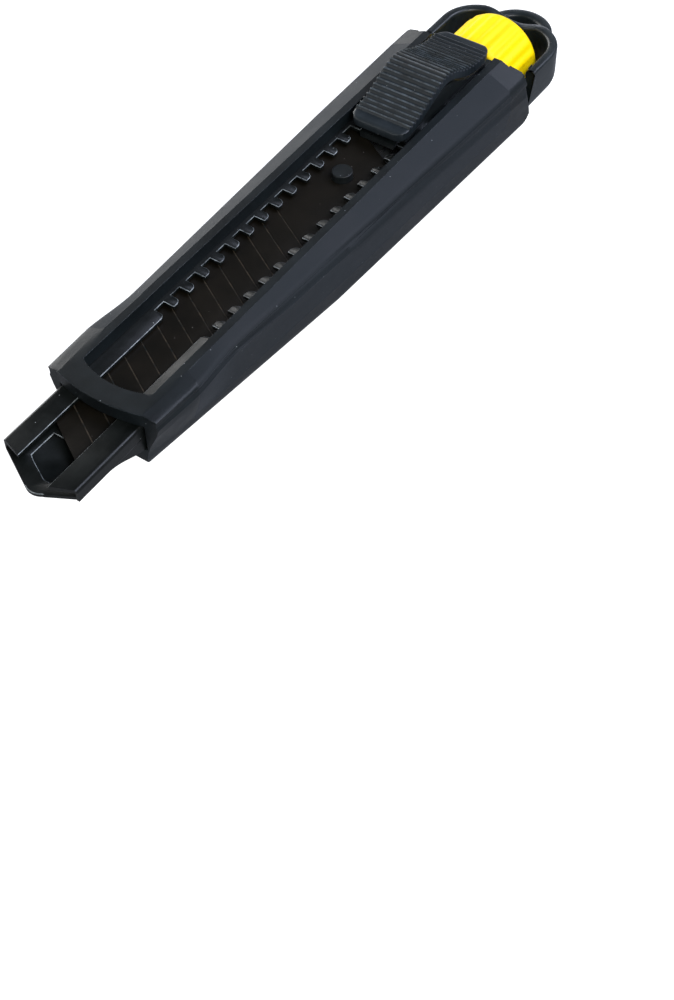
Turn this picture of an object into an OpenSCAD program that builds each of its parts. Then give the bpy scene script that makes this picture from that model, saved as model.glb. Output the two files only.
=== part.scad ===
// Snap-off utility knife with a sliding auto-lock thumb pad and a screw-on end cap.
// Length runs along X with the blade pointing to +X, the open window faces +Z and the
// cutting edge is on the +Y side. The origin is below the middle of the knife, on the
// plane that the belly and the thumb wheel rest on.

/* [Handle] */
// Length of the handle from the nose to the ends of the rails
handle_len = 128.4; // [120:0.1:155]
// Height of the handle from the belly to the top of the rails
handle_h = 22.4; // [21.5:0.1:27]
// Width of the handle across the nose
nose_w = 25; // [24.5:0.1:30]
// Greatest width of the handle
handle_w = 33.6; // [32:0.1:41]
// Thickness of the rubber grips
grip_t = 1.8; // [1:0.1:2]
// Width of the window that the slider runs in
window_w = 16.6; // [15.5:0.1:17]
// Width of hard plastic between the window and the rubber
rail_w = 1.8; // [1:0.1:2.5]
// Height of the rails above the blade guide
rail_h = 3; // [2:0.1:3.5]
// Height at which the upper and lower shells meet
split_z = 9.4; // [8:0.1:10]
// Length of bare nose in front of the grips
nose_len = 13.7; // [12:0.1:20]

/* [Blade and guide] */
// Width of the blade
blade_w = 18; // [17:0.1:18.5]
// Thickness of the blade
blade_t = 0.5; // [0.4:0.05:0.6]
// Length of one snap-off segment, and of one lock step
segment = 5; // [4.5:0.1:5.5]
// How far the blade guide stands out of the nose
guide_proud = 20.4; // [17:0.1:25]
// Thickness of the side walls of the blade guide
guide_wall = 0.6; // [0.4:0.05:0.8]
// Thickness of the floor and of the lips of the blade guide
lip_t = 0.8; // [0.6:0.05:1]
// Gap between the two lips of the blade guide
lip_gap = 9.4; // [9:0.1:10]

/* [Slider] */
// Length of the thumb pad
pad_len = 37.2; // [34:0.1:42]
// Width of the thumb pad
pad_w = 13.7; // [12:0.1:14.5]
// Thickness of the thumb pad
pad_t = 2.2; // [1.8:0.1:2.4]
// Height of the thumb pad's crest above the rails
crest_h = 5.5; // [4.5:0.1:6.5]
// Spacing of the thumb pad's ribs
rib_pitch = 1.3; // [1.2:0.05:1.6]
// How far the thumb pad is pressed to free the lock
press = 0.9; // [0.85:0.01:0.95]

/* [End cap and wheel] */
// Length of the end cap's loop behind the rails
cap_len = 25; // [25:0.1:30]
// Width of the end cap's loop
cap_w = 29.6; // [29:0.1:32]
// Height of the end cap's loop
cap_h = 11; // [9.5:0.1:12]
// Thickness of the loop's side and rear bars
bar_t = 2.3; // [2:0.1:2.5]
// Length of the lanyard eye behind the loop
eye_len = 8.5; // [8:0.1:10]
// Diameter of the thumb wheel
wheel_d = 20.4; // [18:0.1:20.8]
// Width of the thumb wheel along its axle
wheel_len = 14.2; // [12:0.1:14.3]
// Number of grip ribs round the thumb wheel
wheel_ribs = 26; // [20:1:30]
// Diameter of the cap screw
screw_d = 5; // [4:0.5:5]

/* [Hidden] */

eps = 0.01;
gap = 0.1;          // slack between fixed pieces that are pushed together
long = 400;         // longer than the knife, for cutting shapes

// places along X
tip_x = (guide_proud + handle_len + cap_len + eye_len) / 2;
nose_x = tip_x - guide_proud;
rear_x = nose_x - handle_len;
ring_x = rear_x - cap_len;
wide_x = rear_x + 17.7;               // where the handle is widest
grip_x0 = nose_x - nose_len;
grip_x1 = rear_x + 5.5;

// heights
lip_z = handle_h - rail_h;
under_lip_z = lip_z - lip_t;
blade_z = under_lip_z - 0.47 - blade_t;
carrier_t = 0.4;
floor_z = blade_z - carrier_t - gap;
guide_z = floor_z - lip_t;
guide_w = blade_w + 2 * (guide_wall + 0.15);
tooth_len = 2.2;
tooth_depth = 2.6;
tooth_count = 17;

// slider, at rest against the rear end of its travel
pad_x = rear_x + 35.2;
pad_end_x = pad_x - pad_len;
pad_z = handle_h + 0.35;              // top of the pad's front lip
crest_z = handle_h + crest_h;
stud_x = pad_x + 12.64;
stud_r = 2.26;
lock_x = pad_x - 10.9;                // rear of the lock tabs
lock_gap = 15;                        // the gap that they rest in, counted from the front
tooth_x = lock_x + lock_gap * segment - 2 * gap;   // front of the first tooth
post_x = [lock_x - 1.4, lock_x - 5.4];
saddle_w = 12.6;
neck_w = lip_gap - 0.8;

// wheel and screw, on one axle along X
wheel_r = wheel_d / 2;
axle_z = wheel_r + 0.2;
washer_t = 0.7;
web_t = 2.8;
wheel_x = rear_x - gap - web_t - washer_t;
bush_x = wheel_x - wheel_len;
ring_z1 = lip_z - 3.2;
ring_z0 = ring_z1 - cap_h;
screw_r = screw_d / 2;
nut_r = screw_r + 1.2;
nut_len = 10;
run_fit = 0.05;

// shell screws, put in from the belly; each head sits in a counterbore
screw_head_r = 2.6;
screw_head_h = 1.7;
screw_seat = 3.6;                     // from the belly up to the underside of the head
screw_places = [[nose_x - 26, 0], [nose_x - 68, 0], [rear_x + 17, 5.2], [rear_x + 17, -5.2]];

module along_x(x0, x1) {
    translate([x0, 0, 0]) rotate([90, 0, 90]) linear_extrude(x1 - x0) children();
}

module block(x0, x1, y0, y1, z0, z1) {
    translate([x0, y0, z0]) cube([x1 - x0, y1 - y0, z1 - z0]);
}

module rod(x0, x1, r, z = axle_z) {
    translate([x0, 0, z]) rotate([0, 90, 0]) cylinder(h = x1 - x0, r = r, $fn = 72);
}

// ---- outer form of the handle, drawn inwards by inset for the rubber's seat

rise_x = nose_x - 62;                 // where the belly starts to climb to the nose
belly_rise = 4.4;
chin_r = 10;
climb = atan(belly_rise / (nose_x - rise_x));
function belly_z(x) = max(0, (x - rise_x) * tan(climb));
lean_back = 5.8;                      // how far the cheeks reach back beyond the rails

module plan(inset) {
    side_run = nose_x - 2.7 - wide_x;
    side_drop = (handle_w - nose_w) / 2;
    side_r = (pow(side_run, 2) + pow(side_drop, 2)) / (2 * side_drop);
    nose_r = 34.3;
    intersection() {
        for_both_sides(handle_w / 2 - side_r - inset, wide_x, side_r);
        translate([nose_x - nose_r, 0]) circle(nose_r, $fn = 180);
        translate([rear_x - 8, -handle_w / 2]) square([handle_len + 8, handle_w]);
    }
    intersection() {
        for_both_sides(handle_w / 2 - side_r - inset, wide_x, side_r);
        translate([rear_x - 8, -handle_w / 2]) square([handle_len - 6, handle_w]);
    }
}

module for_both_sides(y, x, r) {
    intersection() {
        translate([x, y]) circle(r, $fn = 1440);
        translate([x, -y]) circle(r, $fn = 1440);
    }
}

// side view: the belly is flat, then climbs to a round chin, and the rear end leans back
module profile() {
    chin = [nose_x - chin_r, belly_rise + chin_r];
    translate(chin) circle(chin_r, $fn = 120);
    polygon([[rear_x, handle_h], [rear_x - 1.7, lip_z], [rear_x - lean_back, lip_z - 12],
        [rear_x - lean_back + 1, lip_z - 15.5], [rear_x - 1, 0], [rise_x, 0],
        chin - chin_r * [-sin(climb), cos(climb)], chin, chin + [chin_r, 0], [nose_x, handle_h]]);
}

// end view of one side: shoulder facet, drafted wall and round lower edge
module side_2d(inset) {
    edge_r = 7;
    draft = 11;
    crease_z = lip_z;
    crease = [[-0.3, crease_z - 1.5], [-1.1, crease_z + 0.7], [-1.1, crease_z + 20]];
    cy = (-edge_r + (edge_r - crease_z) * sin(draft)) / cos(draft);
    tangent = [cy + edge_r * cos(draft), edge_r - edge_r * sin(draft)];
    translate([-inset, 0]) {
        translate([cy, edge_r]) circle(edge_r, $fn = 120);
        polygon([[-60, 0], [cy, 0], [cy, edge_r], tangent, crease[0], crease[1], crease[2],
            [-60, crease_z + 20]]);
    }
}

// the same side again, turned up in front so that its lower edge follows the climbing belly
module side_limit(inset) {
    lean = atan((handle_w - nose_w) / 2 / (nose_x - 2.7 - wide_x));
    for_each_limit(lean) along_x(-long / 2, long / 2) side_2d(inset);
}

module for_each_limit(lean) {
    intersection() {
        translate([wide_x, handle_w / 2, 0]) rotate([0, 0, -lean]) children();
        translate([rise_x, 0, 0]) rotate([0, -climb, 0]) translate([wide_x - rise_x, handle_w / 2, 0])
            rotate([0, 0, -lean]) children();
    }
}

module shoulder_2d(inset) {
    slope = 3 / 6.65;
    rail_y = window_w / 2 + rail_w;
    far = 30;
    polygon([[-far, -1], [far, -1], [far, handle_h - slope * (far - rail_y) - inset],
        [rail_y, handle_h - inset], [-rail_y, handle_h - inset],
        [-far, handle_h - slope * (far - rail_y) - inset]]);
}

module form(inset = 0) {
    intersection() {
        linear_extrude(handle_h + 1) plan(inset);
        translate([0, handle_w, 0]) rotate([90, 0, 0]) linear_extrude(2 * handle_w) profile();
        side_limit(inset);
        mirror([0, 1, 0]) side_limit(inset);
        along_x(-long / 2, long / 2) shoulder_2d(inset);
        rear_corners(inset);
    }
}

// rounds the two rear corners, square to the slanting ends of the cheeks
module rear_corners(inset) {
    r = 3.5;
    half = handle_w / 2 - inset;
    tilt = atan((lean_back - 1.7) / 12);
    bite = 0.15;                      // so that the rounds meet the flat end at an angle
    translate([rear_x - 1.7, 0, lip_z]) rotate([0, tilt, 0]) translate([-bite, 0, -long / 2])
        linear_extrude(long) {
            translate([r - eps, -half]) square([r, 2 * half]);
            translate([1.5 * r, -half - r]) square([long, 2 * (half + r)]);
            translate([-1, r - half]) square([r + 1, 2 * half - 2 * r]);
            for (s = [-1, 1]) translate([r, s * (half - r)]) circle(r, $fn = 96);
        }
}

// room in the handle for everything else
module guide_slot() {
    half = guide_w / 2 + gap;
    block(rear_x - 1, nose_x + 1, -half, half, guide_z - gap, lip_z + gap / 2);
    for (s = [-1, 1])
        translate([0, s * (guide_w - guide_wall) / 2, 0])
            block(nose_x - 6, nose_x + 1, -0.7, 0.7, lip_z - 6.6, lip_z);
}

module window() {
    front_r = 18;
    front_x = nose_x - 4.7;
    half = window_w / 2;
    translate([0, 0, lip_z]) linear_extrude(rail_h + 1) {
        translate([rear_x - 1, -half]) square([front_x - 4 - rear_x + 1, window_w]);
        intersection() {
            translate([front_x - front_r, 0]) circle(front_r, $fn = 180);
            translate([front_x - 5, -half]) square([6, window_w]);
        }
    }
}

module grip_zone(side) {
    rail_y = window_w / 2 + rail_w;
    mirror([0, side > 0 ? 0 : 1]) translate([0, 0, split_z]) linear_extrude(handle_h) polygon([
        [grip_x1, rail_y], [grip_x0 - 1.5, rail_y], [grip_x0 - 0.9, rail_y + 0.5],
        [grip_x0, rail_y + 2.2], [grip_x0, handle_w], [grip_x1, handle_w]]);
}

module grip(side) {
    difference() {
        intersection() {
            form();
            grip_zone(side);
        }
        form(grip_t);
    }
}

// the end cap's box plugs in between the cheeks
plug_w = 24.2;
module rear_pocket() {
    block(rear_x - 9, rear_x - eps, -plug_w / 2, plug_w / 2, -1, handle_h + 1);
}

cavity_x0 = rear_x + 13;
cavity_x1 = nose_x - 40;
cavity_top = guide_z - 1.4;
boss_r = 3.2;

module upper_shell() {
    color("#14191c") difference() {
        intersection() {
            form();
            block(rear_x - 9, nose_x + 1, -handle_w, handle_w, split_z, handle_h + 1);
        }
        grip_cut(1);
        grip_cut(-1);
        rear_pocket();
        guide_slot();
        window();
        difference() {
            block(cavity_x0, cavity_x1, -9, 9, split_z - 1, cavity_top);
            for (p = screw_places) translate([p[0], p[1], split_z - 2]) cylinder(h = 9, r = boss_r, $fn = 48);
        }
        for (p = screw_places) translate([p[0], p[1], split_z - 2]) cylinder(h = 6.5, r = 1.3, $fn = 48);
        rod(rear_x - 1, rear_x + nut_len, nut_r);
        pin_holes();
    }
}

module grip_cut(side) {
    difference() {
        grip_zone(side);
        form(grip_t);
    }
}

module lower_shell() {
    color("#171c1f") difference() {
        intersection() {
            form();
            block(rear_x - 9, nose_x + 1, -handle_w, handle_w, -1, split_z);
        }
        rear_pocket();
        difference() {
            block(cavity_x0, cavity_x1, -6.5, 6.5, 3.6, split_z + 1);
            for (p = screw_places) translate([p[0], p[1], 0])
                cylinder(h = split_z + 2, r = boss_r + 0.6, $fn = 48);
        }
        for (p = screw_places) translate([p[0], p[1], -1]) {
            cylinder(h = split_z + 2, r = 1.6, $fn = 48);
            cylinder(h = belly_z(p[0]) + screw_seat + 1, r = screw_head_r + 0.3, $fn = 48);
        }
        rod(rear_x - 1, rear_x + nut_len, nut_r);
    }
}

module grip_left() {
    color("#2b3134") grip(-1);
}

module grip_right() {
    color("#2b3134") grip(1);
}

// pan-head screws, each head seated in the lower shell and its end in the upper shell
module shell_screws() {
    color("silver") for (p = screw_places) translate([p[0], p[1], belly_z(p[0]) + screw_seat])
        difference() {
            union() {
                translate([0, 0, -screw_head_h]) cylinder(h = screw_head_h, r = screw_head_r, $fn = 48);
                translate([0, 0, -eps])
                    cylinder(h = split_z + 4 - belly_z(p[0]) - screw_seat, r = 1.25, $fn = 48);
            }
            for (a = [0, 90]) rotate([0, 0, a])
                translate([-1.5, -0.3, -screw_head_h - 1]) cube([3, 0.6, 1.9]);
        }
}

// ---- blade guide: a folded channel with rack teeth along both lips

front_cut = [3.5, 5.6];               // from the tip back to the front of each side wall

module lip_2d(side) {
    inner = lip_gap / 2;
    outer = guide_w / 2;
    tooth_end = tooth_x - (tooth_count - 1) * segment - tooth_len;
    corner = 1.3;
    front = side > 0
        ? [[tip_x - front_cut[0], outer], [tip_x - 1.4, inner]]
        : [[tip_x - front_cut[1], outer], [tip_x - 4, inner]];
    mirror([0, side > 0 ? 0 : 1]) difference() {
        polygon([[rear_x + 0.5, outer], front[0], front[1], [rear_x + 0.5, inner]]);
        for (i = [-1:tooth_count - 1])
            translate([tooth_x - i * segment - segment, inner - 1])
                square([segment - tooth_len, tooth_depth + 1]);
        translate([rear_x - 1, inner - 1]) square([tooth_end - rear_x + 1, tooth_depth + 1]);
        for (i = [-1:tooth_count - 1])
            translate([tooth_x - i * segment - tooth_len, inner]) difference() {
                translate([-eps, -eps]) square(corner);
                translate([corner, corner]) circle(corner, $fn = 48);
            }
    }
}

module floor_2d() {
    nose_r = 3.4;
    outer = guide_w / 2;
    body_x = tip_x - 6.4;
    translate([rear_x + 0.5, -outer]) square([body_x - rear_x - 0.4, guide_w]);
    polygon([[body_x, -outer], [tip_x - front_cut[1], -outer], [tip_x - 0.5, -0.4],
        [tip_x - 0.7, 3.6], [tip_x - front_cut[0] - 0.5, outer], [body_x, outer]]);
    translate([tip_x - nose_r, 1.4]) circle(nose_r, $fn = 60);
}

// the side walls deepen in a soft S towards the mouth of the handle
function skirt_drop(t) = 3.4 * (1 - cos(180 * t)) / 2;

module skirt_2d() {
    x0 = nose_x + 9;
    run = 12;
    steps = 16;
    curve = [for (i = [0:steps]) [x0 - i * run / steps, guide_z - skirt_drop(i / steps)]];
    polygon(concat([[nose_x - 5, lip_z - lip_t], [x0, lip_z - lip_t]], curve,
        [[nose_x - 5, guide_z - skirt_drop(1)]]));
}

// shallow recess in the floor, in front of the retracted blade
module floor_recess() {
    depth = 0.5;
    half = lip_gap / 2 - 0.4;
    translate([0, 0, floor_z - depth]) linear_extrude(depth + 0.2) polygon([
        [tip_x - 13, -half], [tip_x - 6.7, -half], [tip_x - 5.9, -3.1], [tip_x - 3.5, 1.5],
        [tip_x - 3.5, 2.7], [tip_x - 4.3, half], [tip_x - 13, half]]);
}

module blade_guide() {
    half = guide_w / 2;
    color("#1b1d1e") difference() {
        union() {
            translate([0, 0, guide_z]) linear_extrude(lip_t) floor_2d();
            for (s = [-1, 1]) translate([0, 0, under_lip_z]) linear_extrude(lip_t) lip_2d(s);
            for (s = [-1, 1]) {
                end = tip_x - front_cut[s > 0 ? 0 : 1];
                y0 = s > 0 ? half - guide_wall : -half;
                block(rear_x + 0.5, end, y0, y0 + guide_wall, guide_z, lip_z);
                translate([0, y0 + guide_wall, 0]) rotate([90, 0, 0]) linear_extrude(guide_wall) skirt_2d();
            }
        }
        pin_holes();
        floor_recess();
    }
}

pin_r = 1.22;
pin_places = [nose_x - 14, rear_x + nut_len + pin_r + 0.3];

module pin_holes() {
    for (x = pin_places) translate([x, 0, guide_z - 3])
        cylinder(h = 3 + lip_t + eps, r = pin_r + 0.03, $fn = 48);
}

module guide_pins() {
    color("silver") for (x = pin_places)
        translate([x, 0, guide_z - 3]) cylinder(h = 3 + lip_t - 0.05, r = pin_r, $fn = 48);
}

// ---- blade: slanted segments, one ground edge and a hole for the stud

slant = 0.577;
blade_tip_x = nose_x + 13.8;          // sharp corner of the retracted blade
blade_tail_x = stud_x - 6.74;         // rear corner of the blade, behind the stud
unscored = 24;                        // plain length in front of the stud

module blade_2d() {
    half = blade_w / 2;
    polygon([[blade_tip_x, half], [blade_tip_x - blade_w * slant, -half],
        [blade_tail_x - blade_w * slant, -half], [blade_tail_x, half]]);
}

module snap_blade() {
    half = blade_w / 2;
    top = blade_z + blade_t;
    grind = 1.6;
    color("#2a211d") difference() {
        translate([0, 0, blade_z]) linear_extrude(blade_t) blade_2d();
        translate([0, half, top]) rotate([-atan(blade_t / 2 / grind), 0, 0])
            translate([-long / 2, -grind, 0]) cube([long, 2 * grind, 2]);
        for (i = [1:floor((blade_tip_x - stud_x - unscored) / segment)])
            translate([blade_tip_x - i * segment, half, top]) rotate([0, 0, -30])
                translate([-0.12, -blade_w * 1.3, -0.12]) cube([0.24, blade_w * 1.4, 1]);
        translate([stud_x, 0, blade_z - 1]) cylinder(h = 2, r = stud_r + 0.1, $fn = 72);
    }
}

// ---- slider group

module blade_carrier() {
    half = blade_w / 2 - 0.6;
    rear = pad_end_x + 4.4;
    color("#3a3d3f") difference() {
        union() {
            block(rear, stud_x + 4, -half, half, blade_z - carrier_t, blade_z);
            block(rear, lock_x - 8, -half, half, blade_z - eps, under_lip_z - 0.25);
        }
        translate([stud_x, 0, blade_z - 1]) cylinder(h = 2, r = 1.5, $fn = 48);
    }
}

module blade_stud() {
    color("#23282b") {
        translate([stud_x, 0, blade_z]) cylinder(h = lip_z + 0.43 - blade_z, r = stud_r, $fn = 72);
        translate([stud_x, 0, blade_z - carrier_t]) cylinder(h = carrier_t, r = 1.5, $fn = 48);
    }
}

// height of the thumb pad's smooth top above the rest plane, at a distance behind its front
function pad_top(d) =
    let (c = 17.5, front = pad_z + 0.6, rear = pad_z + 0.85, t = (d - c) / (d < c ? 13 : 11))
    (d < c ? front : rear) + (crest_z - (d < c ? front : rear)) * exp(-2.2 * t * t);

function rib_rise(d) =
    let (start = 2.4, stop = start + 25 * rib_pitch, phase = (d - start) / rib_pitch)
    (d < start || d > stop) ? 0 : 0.22 * (1 - cos(360 * phase)) - 0.25;

module pad_plan() {
    half = pad_w / 2;
    front_r = 2.4;
    rear_r = 3.6;
    translate([pad_end_x + rear_r, -half]) square([pad_len - front_r - rear_r, pad_w]);
    translate([pad_end_x, -half + rear_r]) square([pad_len - front_r, pad_w - 2 * rear_r]);
    translate([pad_end_x + rear_r, -half + front_r]) square([pad_len - rear_r, pad_w - 2 * front_r]);
    for (s = [-1, 1]) {
        translate([pad_end_x + rear_r, s * (half - rear_r)]) circle(rear_r, $fn = 64);
        translate([pad_x - front_r, s * (half - front_r)]) circle(front_r, $fn = 64);
    }
}

module pad_profile(top, bottom, d0 = 0, d1 = pad_len) {
    step = rib_pitch / 4;
    n = ceil((d1 - d0) / step);
    d = [for (i = [0:n]) min(d0 + i * step, d1)];
    upper = [for (v = d) [pad_x - v, pad_top(v) + (top == 0 ? rib_rise(v) : top)]];
    lower = [for (i = [n:-2:0]) [pad_x - d[i], bottom <= 0 ? pad_top(d[i]) + bottom : bottom]];
    polygon(concat(upper, lower));
}

module across(w) {
    translate([0, w / 2, 0]) rotate([90, 0, 0]) linear_extrude(w) children();
}

pocket_r = 2.1;
pocket_z = lip_z + 0.9;
collar_z = pocket_z + 2.3;

module slider_body() {
    top_drop = -pad_t - press - 0.15;
    color("#121617") difference() {
        union() {
            across(saddle_w) pad_profile(top_drop, lip_z + 0.1, 2, pad_len - 2.4);
            block(pad_end_x + 4.4, pad_x - 0.4, -neck_w / 2, neck_w / 2, under_lip_z - 0.25, lip_z + 0.2);
        }
        block(lock_x - 8, lock_x + 3.2, -neck_w, neck_w, blade_z - 1, lip_z + 0.1);
        for (x = post_x) translate([x, 0, 0]) {
            translate([0, 0, pocket_z]) cylinder(h = 20, r = pocket_r, $fn = 48);
            cylinder(h = pocket_z + 1, r = 1.25, $fn = 48);
        }
        translate([pad_x - 1.2, -2, lip_z + 0.2]) cylinder(h = 1, r = 0.5, center = true, $fn = 32);
    }
}

module thumb_pad() {
    color("#2c3135") {
        intersection() {
            across(pad_w) pad_profile(0, -pad_t);
            linear_extrude(handle_h + 30) pad_plan();
        }
        for (x = post_x) translate([x, 0, 0]) {
            translate([0, 0, lip_z - 0.05]) cylinder(h = pad_top(pad_x - x) - 1 - lip_z, r = 1.1, $fn = 48);
            translate([0, 0, collar_z]) cylinder(h = pad_top(pad_x - x) - 1 - collar_z, r = 1.8, $fn = 48);
        }
    }
}

module lock_plate() {
    plate_z = under_lip_z + 0.05;
    color("silver") {
        block(lock_x - 7, lock_x + 2.8, -4.1, 4.1, plate_z, lip_z - 0.05);
        block(lock_x, lock_x + tooth_len + 0.2, -6.9, 6.9, plate_z, lip_z - 0.05);
    }
}

// two small coil springs that lift the thumb pad
module pad_springs() {
    wire = 0.22;
    color("silver") for (x = post_x) translate([x, 0, pocket_z])
        linear_extrude(collar_z - pocket_z, twist = -360 * 3, slices = 54)
            translate([1.55, 0]) circle(wire, $fn = 6);
}

// ---- end cap, thumb wheel and screw

module loop_2d(half, x1, r) {
    translate([x1 + r, -half]) square([rear_x - x1 - r - gap, 2 * half]);
    translate([x1, -half + r]) square([r + 1, 2 * half - 2 * r]);
    for (s = [-1, 1]) translate([x1 + r, s * (half - r)]) circle(r, $fn = 96);
}

module eye_2d() {
    eye_r = eye_len;
    bar = 2.8;
    difference() {
        translate([ring_x, 0]) circle(eye_r, $fn = 96);
        translate([ring_x, 0]) circle(eye_r - bar, $fn = 96);
        translate([ring_x + bar_t / 2, -eye_r]) square([2 * eye_r, 2 * eye_r]);
    }
}

// end view of the loop, with round lower edges
module cap_section() {
    edge_r = 4;
    half = cap_w / 2;
    polygon([[-half, ring_z0 + edge_r], [edge_r - half, ring_z0], [half - edge_r, ring_z0],
        [half, ring_z0 + edge_r], [half, handle_h], [-half, handle_h]]);
    for (s = [-1, 1]) translate([s * (half - edge_r), ring_z0 + edge_r]) circle(edge_r, $fn = 96);
}

module end_cap() {
    outer = cap_w / 2;
    inner = outer - bar_t;
    plug_half = plug_w / 2 - gap;
    front_x = rear_x - gap;
    arm_x = rear_x - lean_back - gap;
    color("#1d2124") difference() {
        union() {
            intersection() {
                translate([0, 0, ring_z0]) linear_extrude(cap_h) difference() {
                    loop_2d(outer, ring_x, 9.5);
                    loop_2d(inner, ring_x + bar_t, 7.4);
                }
                along_x(ring_x - 1, arm_x) cap_section();
            }
            block(front_x - web_t, front_x, -plug_half, plug_half, ring_z0 + 0.5, lip_z - 0.4);
            for (s = [-1, 1]) translate([0, s * (plug_half - 0.6), 0])
                block(arm_x - 4, front_x, -0.6, 0.6, ring_z0 + 1, ring_z0 + 6.2);
            for (s = [-1, 1]) translate([0, s * (plug_half + inner) / 2, 0])
                block(arm_x - 4, arm_x, -inner + plug_half - 1.5, inner - plug_half + 1.5,
                    ring_z0 + 1.5, ring_z0 + 6.2);
            translate([0, 0, ring_z0]) linear_extrude(cap_h - 4) eye_2d();
            rod(ring_x + 1, bush_x - 0.4, 4.2);
        }
        // scoop across the rear bar and notches where the arms clear the handle
        translate([ring_x - 20, 0, ring_z1 + 10]) rotate([0, 90, 0]) cylinder(h = 30, r = 11.8, $fn = 96);
        for (s = [-1, 1]) translate([arm_x - 1, s * outer, ring_z0 + 6.2]) rotate([0, -20, 0])
            translate([0, -4, 0]) cube([20, 8, 30]);
        rod(rear_x - web_t - 1, rear_x, screw_r + run_fit);
        rod(bush_x - 6.4, bush_x, screw_r + 0.95);
    }
}

module thumb_wheel() {
    rib_r = 0.75;
    root_r = wheel_r - 0.55;
    edge = 0.8;
    rib_end = edge + 0.25;
    color("#f2d400") difference() {
        union() {
            rod(bush_x + edge, wheel_x - edge, root_r);
            rod(bush_x, wheel_x, root_r - edge);
            for (i = [0:wheel_ribs - 1]) translate([0, 0, axle_z]) rotate([i * 360 / wheel_ribs, 0, 0])
                translate([bush_x + rib_end, 0, wheel_r - rib_r]) rotate([0, 90, 0])
                    cylinder(h = wheel_len - 2 * rib_end, r = rib_r, $fn = 24);
        }
        rod(bush_x - 1, wheel_x + 1, screw_r + 0.02);
        rod(bush_x - 1, bush_x + 2.5, wheel_r - 3.45);
    }
}

module cap_screw() {
    color("silver") {
        rod(bush_x - 5.5, rear_x + nut_len - 1.5, screw_r);
        rod(bush_x + 0.2, bush_x + 2.4, screw_r + 1.6);
    }
}

module cap_nut() {
    color("goldenrod") difference() {
        rod(rear_x + 0.1, rear_x + nut_len, nut_r - 0.02);
        rod(rear_x - 1, rear_x + nut_len + 1, screw_r + run_fit);
    }
}

module wheel_washer() {
    color("silver") difference() {
        rod(wheel_x, wheel_x + washer_t - 0.05, screw_r + 2.5);
        rod(wheel_x - 1, wheel_x + washer_t + 1, screw_r + 0.02);
    }
}

module screw_bush() {
    color("#cfcabc") difference() {
        rod(bush_x - 6.2, bush_x - 0.4, screw_r + 0.93);
        rod(bush_x - 5.7, bush_x, screw_r + run_fit);
    }
}

upper_shell();
lower_shell();
grip_left();
grip_right();
shell_screws();
blade_guide();
guide_pins();
snap_blade();
blade_carrier();
blade_stud();
slider_body();
thumb_pad();
lock_plate();
pad_springs();
end_cap();
thumb_wheel();
cap_screw();
cap_nut();
wheel_washer();
screw_bush();
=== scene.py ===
"""Snap-off utility knife: detailed pieces, finishes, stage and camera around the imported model."""
import math

import bmesh
import bpy
from mathutils import Matrix, Vector


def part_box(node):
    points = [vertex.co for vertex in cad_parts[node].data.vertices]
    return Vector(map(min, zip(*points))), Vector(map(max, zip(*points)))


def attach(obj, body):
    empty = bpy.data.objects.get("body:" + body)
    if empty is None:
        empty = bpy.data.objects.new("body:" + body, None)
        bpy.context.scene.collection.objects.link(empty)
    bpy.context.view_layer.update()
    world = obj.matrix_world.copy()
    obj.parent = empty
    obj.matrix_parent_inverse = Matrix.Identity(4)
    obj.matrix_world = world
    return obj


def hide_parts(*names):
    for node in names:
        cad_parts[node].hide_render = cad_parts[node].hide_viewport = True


bl_info = {
    "name": "Snap-off Utility Knife",
    "version": (1, 0, 0),
    "blender": (4, 5, 0),
    "location": "3D View > Sidebar > Utility Knife",
    "description": "Builds the visible pieces, finishes and stage of a snap-off utility knife",
    "category": "Object",
}

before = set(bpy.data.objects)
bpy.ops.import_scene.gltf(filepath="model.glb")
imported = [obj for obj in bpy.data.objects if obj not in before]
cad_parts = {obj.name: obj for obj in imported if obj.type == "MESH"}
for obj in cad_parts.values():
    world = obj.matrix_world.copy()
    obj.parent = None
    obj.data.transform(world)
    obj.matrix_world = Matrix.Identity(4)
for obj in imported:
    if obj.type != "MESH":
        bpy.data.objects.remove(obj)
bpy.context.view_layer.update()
MM = 0.001


# ---------------------------------------------------------------- helpers: colour and nodes

def srgb(code, alpha=1.0):
    """A hex sRGB colour as linear values."""
    channels = [int(code[i:i + 2], 16) / 255 for i in (1, 3, 5)]
    linear = [c / 12.92 if c <= 0.04045 else ((c + 0.055) / 1.055) ** 2.4 for c in channels]
    return (*linear, alpha)


def add(tree, kind, settings=None, links=None):
    """Adds one shader node, with its settings and the links into its sockets."""
    made = tree.nodes.new(kind)
    for key, value in (settings or {}).items():
        if isinstance(key, int) or key in made.inputs:
            made.inputs[key].default_value = value
        else:
            setattr(made, key, value)
    for key, source in (links or {}).items():
        tree.links.new(source, made.inputs[key])
    return made


def new_material(name, **sockets):
    """A material with one Principled shader, and the handles that its patterns need."""
    mat = bpy.data.materials.new(name)
    mat.use_nodes = True
    tree = mat.node_tree
    shader = tree.nodes["Principled BSDF"]
    for key, value in sockets.items():
        shader.inputs[key.replace("_", " ")].default_value = value
    place = add(tree, "ShaderNodeTexCoord").outputs["Object"]
    return mat, tree, shader, place


def noise(tree, place, size_mm, detail=3.0, rough=0.5, stretch=(1, 1, 1)):
    """Noise whose blotches are size_mm across, stretched along an axis where stretch is below 1."""
    mapped = add(tree, "ShaderNodeMapping", {"Scale": stretch}, {"Vector": place}).outputs[0]
    settings = {"Scale": 1 / (size_mm * MM), "Detail": detail, "Roughness": rough}
    return add(tree, "ShaderNodeTexNoise", settings, {"Vector": mapped}).outputs["Fac"]


def remap(tree, value, low, high, to_low, to_high):
    settings = {"From Min": low, "From Max": high, "To Min": to_low, "To Max": to_high}
    return add(tree, "ShaderNodeMapRange", settings, {"Value": value}).outputs[0]


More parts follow.
